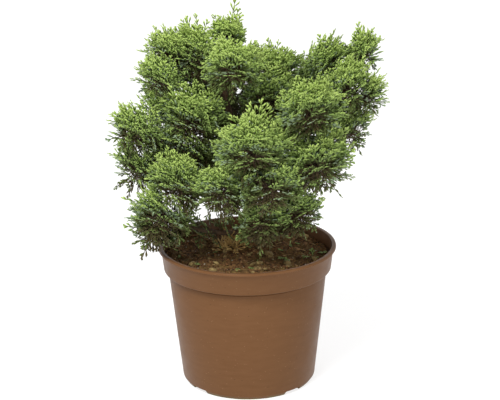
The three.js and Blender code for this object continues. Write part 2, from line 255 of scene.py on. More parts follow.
def speck_group():
    """Round specks in some of the cells of a grid of points: 1 in a speck, 0 round it."""
    values = {"Place": None, "Scale": 300, "Size": 0.2, "Share": 0.5}
    group, given, result = new_group("specks", values, ["Mask"])
    cells = add_node(group, "ShaderNodeTexVoronoi", {"Randomness": 1})
    near = add_node(group, "ShaderNodeMath", operation="LESS_THAN")
    pick = add_node(group, "ShaderNodeSeparateColor")
    chosen = add_node(group, "ShaderNodeMath", operation="LESS_THAN")
    both = add_node(group, "ShaderNodeMath", operation="MULTIPLY")
    wire(
        group,
        (given.outputs["Place"], cells.inputs["Vector"]),
        (given.outputs["Scale"], cells.inputs["Scale"]),
        (cells.outputs["Distance"], near.inputs[0]),
        (given.outputs["Size"], near.inputs[1]),
        (cells.outputs["Color"], pick.inputs[0]),
        (pick.outputs[0], chosen.inputs[0]),
        (given.outputs["Share"], chosen.inputs[1]),
        (near.outputs[0], both.inputs[0]),
        (chosen.outputs[0], both.inputs[1]),
        (both.outputs[0], result.inputs["Mask"]),
    )
    return group


MOTTLE = mottle_group()
SPECKS = speck_group()


# %% One way to build every material
class Finish:
    """A material under construction: its shader, its object coordinates and a few ready moves."""

    def __init__(self, name, roughness, specular=0.5):
        self.material = bpy.data.materials.new(name)
        self.material.use_nodes = True
        self.tree = self.material.node_tree
        self.shader = self.tree.nodes["Principled BSDF"]
        self.shader.inputs["Roughness"].default_value = roughness
        self.shader.inputs["Specular IOR Level"].default_value = specular
        self.place = self.tree.nodes.new("ShaderNodeTexCoord").outputs["Object"]

    def node(self, kind, values=None, **settings):
        return add_node(self.tree, kind, values, **settings)

    def link(self, start, end):
        self.tree.links.new(start, end)

    def mask(self, group, place=None, **values):
        made = self.node("ShaderNodeGroup", node_tree=group)
        for key, value in values.items():
            made.inputs[key.capitalize()].default_value = value
        self.link(place or self.place, made.inputs["Place"])
        return made.outputs["Mask"]

    def blend(self, mask, low, high):
        """A colour between low and high by a mask. Each end is a colour or another blend."""
        mix = self.node("ShaderNodeMix", data_type="RGBA")
        self.link(mask, mix.inputs["Factor"])
        for socket, end in ((mix.inputs[6], low), (mix.inputs[7], high)):
            if isinstance(end, tuple):
                socket.default_value = end
            else:
                self.link(end, socket)
        return mix.outputs[2]

    def mottled(self, scale, contrast, low, high):
        """The same, by a mottle of the given size."""
        return self.blend(self.mask(MOTTLE, scale=scale, contrast=contrast), low, high)

    def stretched(self, scale):
        mapping = self.node("ShaderNodeMapping", {"Scale": scale})
        self.link(self.place, mapping.inputs["Vector"])
        return mapping.outputs["Vector"]

    def below(self, full, none):
        """A mask by height: 1 at the height full and under it, 0 from the height none upwards."""
        split = self.node("ShaderNodeSeparateXYZ")
        span = self.node("ShaderNodeMapRange", {"From Min": none, "From Max": full})
        self.link(self.place, split.inputs[0])
        self.link(split.outputs["Z"], span.inputs["Value"])
        return span.outputs["Result"]

    def rough(self, mask, low, high):
        span = self.node("ShaderNodeMapRange", {"To Min": low, "To Max": high})
        self.link(mask, span.inputs["Value"])
        self.link(span.outputs["Result"], self.shader.inputs["Roughness"])

    def bump(self, height, strength, distance):
        bump = self.node("ShaderNodeBump", {"Strength": strength, "Distance": distance})
        self.link(height, bump.inputs["Height"])
        self.link(bump.outputs["Normal"], self.shader.inputs["Normal"])

    def color(self, output):
        self.link(output, self.shader.inputs["Base Color"])
        return self


# %% [markdown]
# ## Pot
# A nursery pot is moulded from thin plastic: a lip, a straight collar with a fine groove under it, and a
# tapered body that stands on a ring with drain slots. Its wall is one profile turned round the axis, so a
# spin is the natural way to make it. Small bevels on its rings catch the light, and a Boolean cuts the
# slots.

# %% Pot sizes
POT = {
    "height": 150 * MM,
    "rim_radius": 95 * MM,
    "lip_depth": 3.2 * MM,
    "lip_ease": 0.8 * MM,
    "collar_top": 92 * MM,
    "collar_foot": 89.4 * MM,
    "collar_height": 25.5 * MM,
    "body_top": 84.6 * MM,
    "body_foot": 71.8 * MM,
    "foot_radius": 69 * MM,
    "foot_bevel": 4 * MM,
    "foot_ring": 6 * MM,
    "wall": 1.8 * MM,
    "floor_rise": 4 * MM,
    "floor_thick": 2.2 * MM,
    "ring_bevel": 0.5 * MM,
    "groove": 0.9 * MM,  # depth of the moulded groove under the collar
    "slots": 4,
    "slot_width": 21 * MM,
    "slot_turn": math.radians(41.3),
    "turns": 144,
}
COLLAR_BOTTOM = POT["height"] - POT["collar_height"]


# %% Pot mesh
def pot_profile():
    """Radius and height of each ring, from the middle of the underside to the middle of the floor inside."""
    p = POT
    return [
        (0, p["floor_rise"]),
        (p["foot_radius"] - p["foot_ring"], p["floor_rise"]),
        (p["foot_radius"] - p["foot_ring"], 0),
        (p["foot_radius"], 0),
        (p["body_foot"], p["foot_bevel"]),
        (p["body_top"], COLLAR_BOTTOM - 2.4 * p["groove"]),
        (p["body_top"] - p["groove"], COLLAR_BOTTOM - 2 * p["groove"]),
        (p["body_top"] - p["groove"], COLLAR_BOTTOM),
        (p["collar_foot"] - p["lip_ease"], COLLAR_BOTTOM),
        (p["collar_foot"], COLLAR_BOTTOM + p["lip_ease"]),
        (p["collar_top"], p["height"] - p["lip_depth"]),
        (p["rim_radius"], p["height"] - p["lip_depth"] + p["lip_ease"]),
        (p["rim_radius"] - p["lip_ease"], p["height"]),
        (p["collar_top"] - p["wall"], p["height"]),
        (p["collar_foot"] - p["wall"], COLLAR_BOTTOM + p["wall"]),
        (p["body_top"] - p["wall"], COLLAR_BOTTOM),
        (p["body_foot"] - p["wall"], p["floor_rise"] + p["floor_thick"]),
        (0, p["floor_rise"] + p["floor_thick"]),
    ]


def spun(profile, turns):
    """A closed shell: the profile's edges turned once about the upright axis."""
    bm = bmesh.new()
    ring = [bm.verts.new((radius, 0, height)) for radius, height in profile]
    edges = [bm.edges.new(pair) for pair in zip(ring, ring[1:])]
    bmesh.ops.spin(
        bm, geom=ring + edges, cent=(0, 0, 0), axis=(0, 0, 1), angle=math.tau, steps=turns, use_merge=True
    )
    bmesh.ops.remove_doubles(bm, verts=bm.verts, dist=1e-6)
    bmesh.ops.recalc_face_normals(bm, faces=bm.faces)
    return bm


def crease_edges(bm, degrees):
    return [e for e in bm.edges if len(e.link_faces) == 2 and e.calc_face_angle() > math.radians(degrees)]


def slot_cutter():
    bm = bmesh.new()
    for k in range(POT["slots"]):
        made = bmesh.ops.create_cube(bm, size=1)["verts"]
        size = (POT["slot_width"], 4 * POT["foot_ring"], 2 * POT["floor_rise"])
        turn = Matrix.Rotation(POT["slot_turn"] + k * math.tau / POT["slots"], 4, "Z")
        shift = Matrix.Translation((0, -POT["foot_radius"], -0.02 * MM))
        bmesh.ops.transform(bm, verts=made, matrix=turn @ shift @ Matrix.Diagonal((*size, 1)))
    return add_mesh("slot_cutter", mesh_of("slot_cutter", bm))


def cut_slots(mesh):
    """Cuts the drain slots with a Boolean modifier and gives back the finished mesh."""
    cutter = slot_cutter()
    whole = add_mesh("pot_whole", mesh)
    cut = whole.modifiers.new("slots", "BOOLEAN")
    cut.operation = "DIFFERENCE"
    cut.solver = "EXACT"
    cut.object = cutter
    ready = whole.evaluated_get(bpy.context.evaluated_depsgraph_get())
    finished = bpy.data.meshes.new_from_object(ready)
    bpy.data.objects.remove(whole)
    bpy.data.objects.remove(cutter)
    return finished


def pot_mesh():
    bm = spun(pot_profile(), POT["turns"])
    rings = [e for e in crease_edges(bm, 20) if min(v.co.z for v in e.verts) > POT["foot_bevel"] / 2]
    bmesh.ops.bevel(
        bm, geom=rings, offset=POT["ring_bevel"], affect="EDGES", segments=2, profile=0.5, material=-1,
        clamp_overlap=True,
    )
    mesh = cut_slots(mesh_of("pot", bm))
    shade_smooth(mesh)
    mesh.set_sharp_from_angle(angle=math.radians(35))
    return mesh


# %% Pot finish
def pot_finish():
    """Satin brown plastic with faint turning marks, pale and dark specks, and algae at the foot."""
    finish = Finish("brown_plastic", 0.4, 0.12)
    brown = finish.mottled(14, 1.4, srgb(95, 63, 37), srgb(103, 70, 42))
    streaks = finish.mask(MOTTLE, place=finish.stretched((0.2, 0.2, 1)), scale=260, contrast=1.5)
    scuffed = finish.blend(streaks, brown, srgb(107, 74, 46))
    pale_specks = finish.mask(SPECKS, scale=420, size=0.11, share=0.2)
    specked = finish.blend(pale_specks, scuffed, srgb(150, 120, 90))
    dark_specks = finish.mask(SPECKS, scale=260, size=0.12, share=0.12)
    plastic = finish.blend(dark_specks, specked, srgb(78, 52, 32))
    algae = finish.mottled(90, 3, plastic, srgb(92, 90, 34))
    finish.color(finish.blend(finish.below(0.4 * MM, 3.5 * MM), plastic, algae))
    finish.rough(finish.mask(MOTTLE, scale=60, contrast=1.8), 0.32, 0.48)
    finish.bump(finish.mask(MOTTLE, scale=700, contrast=1), 0.12, 0.3 * MM)
    return finish.material


add_piece("pot_wall", pot_mesh(), pot_finish(), ["pot"])

# %% [markdown]
# ## Root ball
# The compost fills the pot to just under the lip and rises to a low mound round the trunk. Its top is a
# disc whose points are lifted by noise, and crumbs, bark, mossy clods, grit and bits of straw lie on it. A
# noise gives the same hills each time, and each kind of bit is one joined mesh, because thousands of
# objects would be slow.

# %% Compost surface
SOIL = {
    "radius": 86.7 * MM,  # just inside the collar
    "edge": 139 * MM,
    "middle": 142 * MM,
    "swell": 0.6,
    "mound_top": 147 * MM,
    "mound_radius": 15 * MM,
    "mound_spread": 34 * MM,
    "depth": 30 * MM,
    "rings": 58,
    "turns": 190,
}
TRUNK_FOOT = Vector((2, 20, 0)) * MM


def smooth_top(heights, softness):
    """The larger of several heights, with the crease between them rounded."""
    return softness * math.log(sum(math.exp(height / softness) for height in heights))


def soil_height(x, y):
    s = SOIL
    radius = math.hypot(x, y) / s["radius"]
    fall = max(0, (radius - s["swell"]) / (1 - s["swell"]))
    ground = s["middle"] - (s["middle"] - s["edge"]) * fall
    away = math.hypot(x - TRUNK_FOOT.x, y - TRUNK_FOOT.y)
    slope = (s["mound_top"] - s["edge"]) / (s["mound_spread"] - s["mound_radius"])
    mound = min(s["mound_top"], s["mound_top"] - (away - s["mound_radius"]) * slope)
    return smooth_top([ground, mound], 1.2 * MM) - 0.4 * MM


def crumble(x, y):
    """Fine relief of the compost: clods, crumbs and grains."""
    lift = 0
    for size, height in ((14, 3.0), (5, 2.2), (2.2, 1.2)):
        lift += height * MM * noise.noise(Vector((x, y, 0)) / (size * MM))
    return lift


def ground(x, y):
    """The height of the compost's surface."""
    return soil_height(x, y) + crumble(x, y)


def soil_mesh():
    s = SOIL
    step = s["radius"] / s["rings"]
    profile = [(k * step, 0) for k in range(s["rings"] + 1)]
    bm = spun(profile, s["turns"])
    for vert in bm.verts:
        vert.co.z = ground(vert.co.x, vert.co.y)
    border = [e for e in bm.edges if e.is_boundary]
    under, rim = extruded(bm, border)
    for vert in rim:
        vert.co.z = s["edge"] - s["depth"]
    bmesh.ops.scale(bm, verts=rim, vec=(0.93, 0.93, 1))
    bmesh.ops.contextual_create(bm, geom=under)
    bmesh.ops.recalc_face_normals(bm, faces=bm.faces)
    return shade_smooth(mesh_of("compost", bm))


def compost_finish():
    """Dark peat with lighter, drier crumbs, greenish where moss has begun."""
    finish = Finish("compost", 0.95, 0.2)
    peat = finish.mottled(260, 3.6, srgb(44, 27, 15), srgb(134, 98, 60))
    moss = finish.mottled(500, 3, srgb(72, 50, 28), srgb(130, 106, 62))
    finish.color(finish.mottled(48, 5, peat, moss))
    finish.bump(finish.mask(MOTTLE, scale=900, contrast=2), 0.7, 1 * MM)
    return finish.material


add_piece("compost", soil_mesh(), compost_finish(), ["soil"])


# %% Joined copies from arrays
def arrays_of(bm):
    """The triangles of a bmesh as arrays of points and of corners."""
    bmesh.ops.triangulate(bm, faces=bm.faces)
    bm.verts.index_update()
    points = np.array([v.co for v in bm.verts])
    corners = np.array([[v.index for v in f.verts] for f in bm.faces])
    bm.free()
    return points, corners


def joined_mesh(name, points, corners, uv=None):
    """One mesh from arrays of points, of each triangle's corners and of each point's place on its leaf."""
    mesh = bpy.data.meshes.new(name)
    mesh.vertices.add(len(points))
    mesh.vertices.foreach_set("co", np.ascontiguousarray(points, dtype=np.float32).ravel())
    mesh.loops.add(corners.size)
    mesh.loops.foreach_set("vertex_index", corners.ravel().astype(np.int32))
    mesh.polygons.add(len(corners))
    mesh.polygons.foreach_set("loop_start", np.arange(0, corners.size, 3, dtype=np.int32))
    if uv is not None:
        layer = mesh.uv_layers.new(name="along_shoot")
        layer.data.foreach_set("uv", uv[corners.ravel()].astype(np.float32).ravel())
    mesh.update(calc_edges=True)
    return mesh


def copies(shape, matrices):
    """Copies of a small shape: arrays of all the points and corners, one 4×4 matrix for each copy."""
    points, corners = shape
    matrices = np.asarray(matrices)
    moved = np.einsum("nij,kj->nki", matrices[:, :3, :3], points) + matrices[:, None, :3, 3]
    shifted = corners[None] + (np.arange(len(matrices)) * len(points))[:, None, None]
    return moved.reshape(-1, 3), shifted.reshape(-1, 3)


def joined(parts):
    """Several pairs of points and corners as one."""
    offsets = np.cumsum([0] + [len(points) for points, _ in parts[:-1]])
    points = np.concatenate([points for points, _ in parts])
    corners = np.concatenate([corners + offset for (_, corners), offset in zip(parts, offsets)])
    return points, corners


# %% Bits on the compost
LUMP_KINDS = 4  # different lumps among the bits of one kind


def lump_shape(seed, rough):
    """A small uneven lump: an icosphere whose points are pushed in and out."""
    bm = bmesh.new()
    bmesh.ops.create_icosphere(bm, subdivisions=1, radius=0.5)
    for vert in bm.verts:
        vert.co *= 1 + rough * noise.noise(vert.co * 3 + Vector((seed, 0, 0)))
    return arrays_of(bm)


def random_spot(rng, radius, middle=(0, 0)):
    """A seeded spot on a disc, spread evenly over it."""
    away = radius * math.sqrt(rng.random())
    turn = rng.random() * math.tau
    return middle[0] + away * math.cos(turn), middle[1] + away * math.sin(turn)


def scatter(seed, count, size, flat, sink):
    """Matrices that lay bits on the compost at random. Size is the least and the most, flat squashes them."""
    rng = np.random.default_rng(seed)
    placed = []
    for _ in range(count):
        x, y = random_spot(rng, SOIL["radius"] - 2 * MM)
        length = size[0] + (size[1] - size[0]) * rng.random() ** 2
        shape = Matrix.Diagonal((length, length * (0.45 + 0.4 * rng.random()), length * flat, 1))
        roll = Matrix.Rotation((rng.random() - 0.5) * 0.9, 4, "X")
        tilt = roll @ Matrix.Rotation((rng.random() - 0.5) * 0.9, 4, "Y")
        spin = Matrix.Rotation(rng.random() * math.tau, 4, "Z")
        z = ground(x, y) + length * flat * (0.5 - sink)
        placed.append(Matrix.Translation((x, y, z)) @ tilt @ spin @ shape)
    return placed


def bits_mesh(name, seed, count, size, flat, sink):
    parts = []
    for kind in range(LUMP_KINDS):
        places = scatter(seed * 10 + kind, count // LUMP_KINDS, size, flat, sink)
        parts.append(copies(lump_shape(seed + kind, 0.7), places))
    return joined_mesh(name, *joined(parts))


def bit_finish(name, dark, light, scale):
    finish = Finish(name, 0.9, 0.25)
    finish.color(finish.mottled(scale, 3, srgb(*dark), srgb(*light)))
    finish.bump(finish.mask(MOTTLE, scale=900, contrast=2), 0.5, 0.5 * MM)
    return finish.material


def straw_shape():
    """A flat bit of dead stalk from -0.5 to 0.5 along X."""
    bm = bmesh.new()
    bmesh.ops.create_cube(bm, size=1)
    ends = [v for v in bm.verts if v.co.x > 0]
    bmesh.ops.scale(bm, verts=ends, vec=(1, 0.5, 0.5))
    return arrays_of(bm)


BITS = {
    "peat_crumbs": [11, 2200, (1 * MM, 4 * MM), 0.6, 0.25, ((34, 19, 10), (140, 98, 60), 180)],
    "bark_chips": [21, 220, (3 * MM, 9 * MM), 0.22, 0.1, ((66, 42, 24), (158, 120, 78), 120)],
    "mossy_clods": [41, 32, (7 * MM, 15 * MM), 0.45, 0.3, ((92, 72, 42), (164, 142, 92), 260)],
    "pale_grit": [31, 110, (0.8 * MM, 2.2 * MM), 0.8, 0.2, ((150, 140, 120), (196, 188, 170), 200)],
}
for bits, (seed, count, size, flat, sink, look) in BITS.items():
    add_piece(bits, bits_mesh(bits, seed, count, size, flat, sink), bit_finish(bits, *look))

STRAWS = {"count": 90, "length": (5 * MM, 16 * MM), "thick": 0.8 * MM}


def straw_mesh():
    rng = np.random.default_rng(51)
    placed = []
    for _ in range(STRAWS["count"]):
        spot = Vector((*random_spot(rng, SOIL["radius"] - 6 * MM), 0))
        spot.z = ground(spot.x, spot.y) + 0.6 * MM
        shortest, longest = STRAWS["length"]
        length = shortest + (longest - shortest) * rng.random() ** 2
        size = Matrix.Diagonal((length, STRAWS["thick"], STRAWS["thick"] / 2, 1))
        lift = Matrix.Rotation(0.35 * (rng.random() - 0.4), 4, "Y")
        spin = Matrix.Rotation(rng.random() * math.tau, 4, "Z")
        placed.append(Matrix.Translation(spot) @ spin @ lift @ size)
    return joined_mesh("straws", *copies(straw_shape(), placed))


add_piece("straws", straw_mesh(), bit_finish("straws", (124, 96, 58), (186, 158, 112), 160))

# %% [markdown]
# ## Trunk and boughs
# The limbs follow the same rule as the solids: a trunk from the mound to the fork, two leaders, and boughs
# that leave them below the masses that they carry. Each is a ring of points, extruded from step to step
# along its curve. Hinoki bark is red-brown and comes off in long thin strips, so the ring is pushed in and
# out by a noise that is fine round the limb and long along it.

# %% The crown's rule
CROWN_AXIS = Vector((0, 15, 0)) * MM
TRUNK = {
    "fork": Vector((-1, 14, 222)) * MM,
    "foot_radius": 8.2 * MM,
    "fork_radius": 6 * MM,
    "flare": 4.6 * MM,
    "flare_height": 16 * MM,
    "flare_lobes": 5,
    "lean": 5 * MM,
}
BOUGH = {
    "slimmest": 1.5 * MM,
    "growth": 1.3 * MM,
    "tip_share": 0.5,
    "rise": 0.42,
    "rise_jitter": 0.3,
    "lowest": 0.12,
    "sag": 0.1,
    "stop": 0.85,
}
# Each bough: the limb that it leaves, and its masses by heading (degrees from +X towards +Y), reach from
# the crown's axis, height and radius (millimetres).
CROWN = {
    "left_leader": ("trunk", [[-157, 52, 358, 36], [-142, 21, 374, 22]]),
    "right_leader": ("trunk", [[-10, 88, 348, 28], [-7, 119, 355, 28]]),
    "crown_left": ("left_leader", [[-169, 77, 357, 32], [-161, 90, 335, 29]]),
    "crown_front": ("left_leader", [[-101, 64, 352, 34]]),
    "crown_back": ("left_leader", [[139, 72, 331, 38], [82, 62, 317, 35]]),
    "left_arm": ("left_leader", [[-160, 118, 281, 34], [-165, 115, 240, 34]]),
    "left_fold": ("left_leader", [[-147, 66, 292, 44]]),
    "left_ledge": ("trunk", [[-135, 96, 232, 38], [-152, 68, 259, 40]]),
    "skirt_left": ("trunk", [[-145, 105, 197, 38], [-155, 106, 176, 30]]),
    "front_upper": ("left_leader", [[-86, 98, 274, 44]]),
    "front_low": ("trunk", [[-106, 90, 230, 36], [-77, 99, 238, 38]]),
    "skirt_front": ("trunk", [[-78, 78, 195, 31], [-52, 79, 199, 33]]),
    "saddle": ("right_leader", [[-11, 34, 335, 31], [-53, 38, 312, 35]]),
    "right_shoulder": ("right_leader", [[-28, 113, 328, 34]]),
    "front_right": ("right_leader", [[-52, 105, 311, 40]]),
    "right_arm": ("right_leader", [[-20, 127, 316, 27], [-18, 112, 279, 29]]),
    "right_low": ("trunk", [[-47, 103, 255, 43]]),
    "crown_right": ("right_leader", [[32, 86, 325, 32]]),
    "back_left": ("left_leader", [[158, 92, 284, 40], [112, 76, 283, 40]]),
    "back_right": ("right_leader", [[62, 76, 280, 39], [18, 100, 262, 36]]),
    "back_low": ("trunk", [[155, 88, 217, 39], [98, 70, 211, 38], [40, 82, 212, 38]]),
}
# The long shoots that stand out of a mass: heading, lift above level and reach from the mass's middle.
SHOOTS = {
    "left_leader_1": [[180, 74, 42], [0, 72, 38], [180, 50, 38]],
    "left_leader_2": [[0, 78, 42], [0, 55, 28], [180, 66, 25]],
    "right_leader_2": [[180, 87, 34], [0, 61, 29], [0, 38, 28]],
    "crown_left_2": [[180, 38, 30]],
    "left_arm_1": [[180, -14, 34], [0, 78, 34]],
    "skirt_left_1": [[180, -62, 52], [-150, -50, 42]],
    "skirt_left_2": [[180, 10, 34]],
    "skirt_front_1": [[-109, -71, 36]],
    "right_arm_1": [[0, 27, 30]],
    "crown_front": [[0, 48, 38]],
    "right_leader_1": [[180, 68, 31]],
    "right_low": [[0, 20, 44], [0, 2, 40]],
}


def chance(a, b, c):
    """The same number between 0 and 1 each time for the same three counters."""
    wave = math.sin(a * 12.9898 + b * 78.233 + c * 37.719) * 43758.5453
    return wave - math.floor(wave)


def mass_middle(mass):
    heading, reach, height, _ = mass
    turn = math.radians(heading)
    return CROWN_AXIS + Vector((reach * math.cos(turn), reach * math.sin(turn), height)) * MM


def load_of(name):
    """How many masses a bough carries, on itself and on the boughs that leave it."""
    return len(CROWN[name][1]) + sum(load_of(other) for other in CROWN if CROWN[other][0] == name)


# %% Centre lines
class Line:
    """A Bézier curve that is walked at an even pace, from share 0 to share 1."""

    def __init__(self, *controls):
        self.controls = [np.array(c) for c in controls]
        steps = np.linspace(0, 1, 201)
        spots = np.array([self.raw(t) for t in steps])
        paced = np.concatenate([[0], np.cumsum(np.linalg.norm(np.diff(spots, axis=0), axis=1))])
        self.length = paced[-1]
        self.steps, self.paced = steps, paced

    def raw(self, t):
        points = self.controls
        while len(points) > 1:
            points = [a + (b - a) * t for a, b in zip(points, points[1:])]
        return points[0]

    def at(self, share):
        return Vector(self.raw(np.interp(share * self.length, self.paced, self.steps)))


def trunk_line():
    foot = Vector((TRUNK_FOOT.x, TRUNK_FOOT.y, SOIL["mound_top"] + 0.3 * MM))
    fork = TRUNK["fork"]
    upright = Vector((foot.x, foot.y, foot.z + (fork.z - foot.z) * 0.3))
    bow = foot.lerp(fork, 0.5) + Vector((TRUNK["lean"], 0, 0))
    return Line(foot, upright, bow, fork)


def share_at_height(line, height):
    """The share along a limb at which it comes up to a height, or 1 where that is above its tip."""
    steps = 50
    for i in range(round(BOUGH["lowest"] * steps), steps):
        if line.at(i / steps).z >= height:
            return i / steps
    return 1


def bough_line(name, parent):
    masses = CROWN[name][1]
    middle = sum((mass_middle(mass) for mass in masses), Vector()) / len(masses)
    reach = math.hypot(middle.x - CROWN_AXIS.x, middle.y - CROWN_AXIS.y)
    climb = BOUGH["rise"] + BOUGH["rise_jitter"] * (chance(reach / MM, middle.z / MM, 1) - 0.5)
    root = parent.at(share_at_height(parent, middle.z - climb * reach))
    along = middle - root
    tip = root + along * (1 - BOUGH["stop"] * masses[0][3] * MM / along.length)
    bend = root.lerp(tip, 0.5) - Vector((0, 0, BOUGH["sag"] * (tip - root).length))
    return Line(root, bend, tip)


LINES = {"trunk": trunk_line()}
for bough, (parent, _) in CROWN.items():
    LINES[bough] = bough_line(bough, LINES[parent])
print("limbs:", len(LINES))

# %% Bark
BARK = {
    "ring_gap": 2.2 * MM,
    "strip": 0.055,  # depth of the strips, as a share of the limb's radius
    "knot": 0.1,  # slower swellings along the limb
    "strip_length": 16 * MM,
    "strips_round": 2.6,
}


def frames_along(line, steps):
    """A matrix at each step of a line, carried on without twist."""
    spots = [line.at(i / steps) for i in range(steps + 1)]
    ahead = [(b - a).normalized() for a, b in zip(spots, spots[1:])]
    ahead.append(ahead[-1])
    side = ahead[0].orthogonal().normalized()
    found = []
    for spot, way in zip(spots, ahead):
        side = (side - way * side.dot(way)).normalized()
        turn = Matrix((side, way.cross(side), way)).transposed().to_4x4()
        found.append(Matrix.Translation(spot) @ turn)
    return found


def grow_limb(bm, line, radius_at, sides, seed):
    """Extrudes a ring along a line. radius_at(share, angle) gives its radius."""
    steps = max(3, round(line.length / BARK["ring_gap"]))
    spun_round = [k * math.tau / sides for k in range(sides)]
    frames = frames_along(line, steps)
    ring = bmesh.ops.create_circle(bm, cap_ends=True, segments=sides, radius=1)["verts"]
    edges = list({e for v in ring for e in v.link_edges if e.is_boundary or len(e.link_faces) == 1})
    for step, place in enumerate(frames):
        if step:
            edges, ring = extruded(bm, edges)
            back = frames[step - 1].inverted()
            locals_ = [back @ v.co for v in ring]
        else:
            locals_ = [v.co.copy() for v in ring]
        for vert, local in zip(ring, locals_):
            angle = math.atan2(local.y, local.x)
            share = step / steps
            round_limb = Vector((math.cos(angle), math.sin(angle))) * BARK["strips_round"]
            strip = noise.noise(Vector((*round_limb, share * line.length / BARK["strip_length"] + seed)))
            swell = noise.noise(Vector((seed, share * line.length / (9 * MM), 0.5)))
            radius = radius_at(share, angle) * (1 + BARK["strip"] * 2 * strip + BARK["knot"] * swell)
            vert.co = place @ Vector((radius * math.cos(angle), radius * math.sin(angle), 0))
    bmesh.ops.contextual_create(bm, geom=edges)


def trunk_radius(share, angle):
    height = share * (TRUNK["fork"].z - SOIL["mound_top"])
    plain = TRUNK["foot_radius"] + (TRUNK["fork_radius"] - TRUNK["foot_radius"]) * share
    swell = max(0, 1 - height / TRUNK["flare_height"]) ** 2 * TRUNK["flare"] / TRUNK["foot_radius"]
    return plain * (1 + swell * (1 + 0.35 * math.cos(angle * TRUNK["flare_lobes"])))


def bough_radius(name):
    root = BOUGH["slimmest"] + BOUGH["growth"] * math.sqrt(load_of(name))
    return lambda share, angle: root * (1 + (BOUGH["tip_share"] - 1) * share)


def bark_finish():
    """Red-brown bark in long strips, greyer where it has weathered."""
    finish = Finish("bark", 0.85, 0.25)
    strips = finish.mask(MOTTLE, place=finish.stretched((1, 1, 0.22)), scale=420, contrast=2.6)
    brown = finish.blend(strips, srgb(58, 39, 27), srgb(121, 88, 62))
    finish.color(finish.mottled(60, 3, brown, srgb(112, 98, 80)))
    finish.bump(strips, 0.6, 0.8 * MM)
    return finish.material


def limb_mesh(name, line, radius_at, sides, seed):
    bm = bmesh.new()
    grow_limb(bm, line, radius_at, sides, seed)
    bmesh.ops.recalc_face_normals(bm, faces=bm.faces)
    return shade_smooth(mesh_of(name, bm))


BARK_FINISH = bark_finish()
trunk_mesh = limb_mesh("trunk_bark", LINES["trunk"], trunk_radius, 40, 0)
add_piece("trunk_bark", trunk_mesh, BARK_FINISH, ["trunk"])
for row, bough in enumerate(CROWN):
    mesh = limb_mesh(f"{bough}_bark", LINES[bough], bough_radius(bough), 18, row + 1)
    add_piece(f"{bough}_bark", mesh, BARK_FINISH, [f"bough_{bough}"])

# %% [markdown]
# ## Twigs
# Each mass begins with a stem from its bough's tip to a hub. Twigs spread from the hub over an even spiral
# about the mass's heading, as the solids' fans do. The heading points outwards, away from a line behind the
# trunk, and down, so that the sprays come up over the mass from below, like tiles. Real masses are never
# round: slow lobes and a blunt peak make each outline uneven.

# %% Hubs
TUFT = {
    "stem": 1.5 * MM,
    "golden_turn": math.radians(137.508),
    "pair_gap": 2.2 * MM,
    "back": 45 * MM,  # the masses face away from an upright line this far behind the crown's axis
    "dip": 0.8,  # and downwards by this much, so that their sprays rise over them from below
    "lobes": 0.26,  # how uneven a mass's outline is, as a share of its radius
    "lobe_size": 0.55,
    "peak": 0.24,  # each mass draws out to a blunt point, upwards and to a seeded side
    "peak_lean": 0.3,
}
UP = Vector((0, 0, 1))
FRONT = Vector((0, -1, 0))


class Hub:
    """Where a mass's stem ends and its twigs part: its bough, place, heading, radius and seed."""

    def __init__(self, name, bough, start, place, ahead, radius, seed):
        self.name, self.bough, self.start, self.place = name, bough, start, place
        self.ahead, self.radius, self.seed = ahead, radius, seed

    def reach(self, way):
        """How far the mass reaches in a direction: its radius, with a peak and slow lobes."""
        turn = math.tau * chance(self.seed, 9, 9)
        peak = (UP + Vector((math.cos(turn), math.sin(turn), 0)) * TUFT["peak_lean"]).normalized()
        drawn = TUFT["peak"] * (max(0, way.dot(peak)) ** 5 - 0.25)
        lobe = TUFT["lobes"] * noise.noise(way / TUFT["lobe_size"] + Vector((self.seed, 0, 0)))
        return self.radius * (1 + drawn + lobe)


def hubs_of(row, bough, masses):
    tip = LINES[bough].at(1)
    ways = [(mass_middle(mass) - tip).normalized() for mass in masses]
    common = sum(ways, Vector()).normalized()
    found = []
    for k, mass in enumerate(masses):
        place = mass_middle(mass)
        start = tip.copy()
        if len(masses) > 1:
            start += (ways[k] - common).normalized() * TUFT["pair_gap"]
        ahead = place - CROWN_AXIS - Vector((0, TUFT["back"], 0))
        ahead.z = 0
        ahead = (ahead.normalized() - UP * TUFT["dip"]).normalized()
        name = bough + (f"_{k + 1}" if len(masses) > 1 else "")
        found.append(Hub(name, bough, start, place, ahead, mass[3] * MM, 4 * row + k + 1))
    return found


HUBS = [hub for row, (bough, (_, masses)) in enumerate(CROWN.items()) for hub in hubs_of(row, bough, masses)]


def dome_way(ahead, polar, turn):
    """A way out over a dome about a heading, and the way from the heading towards it."""
    side = UP.cross(ahead).normalized()
    over = ahead.cross(side)
    out = side * math.cos(turn) + over * math.sin(turn)
    return ahead * math.cos(polar) + out * math.sin(polar), out


print("masses:", len(HUBS))

# %% [markdown]
# ## Sprays
# A hinoki spray is flat, like a small fern: a midrib with shoots to the left and the right in turn, some of
# them long and with shoots of their own. All of it is clothed in scale leaves, pressed flat, so each piece
# of shoot is a slim flattened bead. A bead is one low shape of six faces, because there are over a hundred
# thousand. A spray's plan is drawn flat by a seeded rule, and then laid on a cupped surface where the spray
# grows. The sprays of a mass grow in two shells, so that the outer ones hide the twigs and the inner ones
# close the gaps.

# %% A bead of scale leaves
BEAD = {"width": 1.65, "thick": 1.2, "widest": 0.68}  # millimetres, and where along it a bead is widest


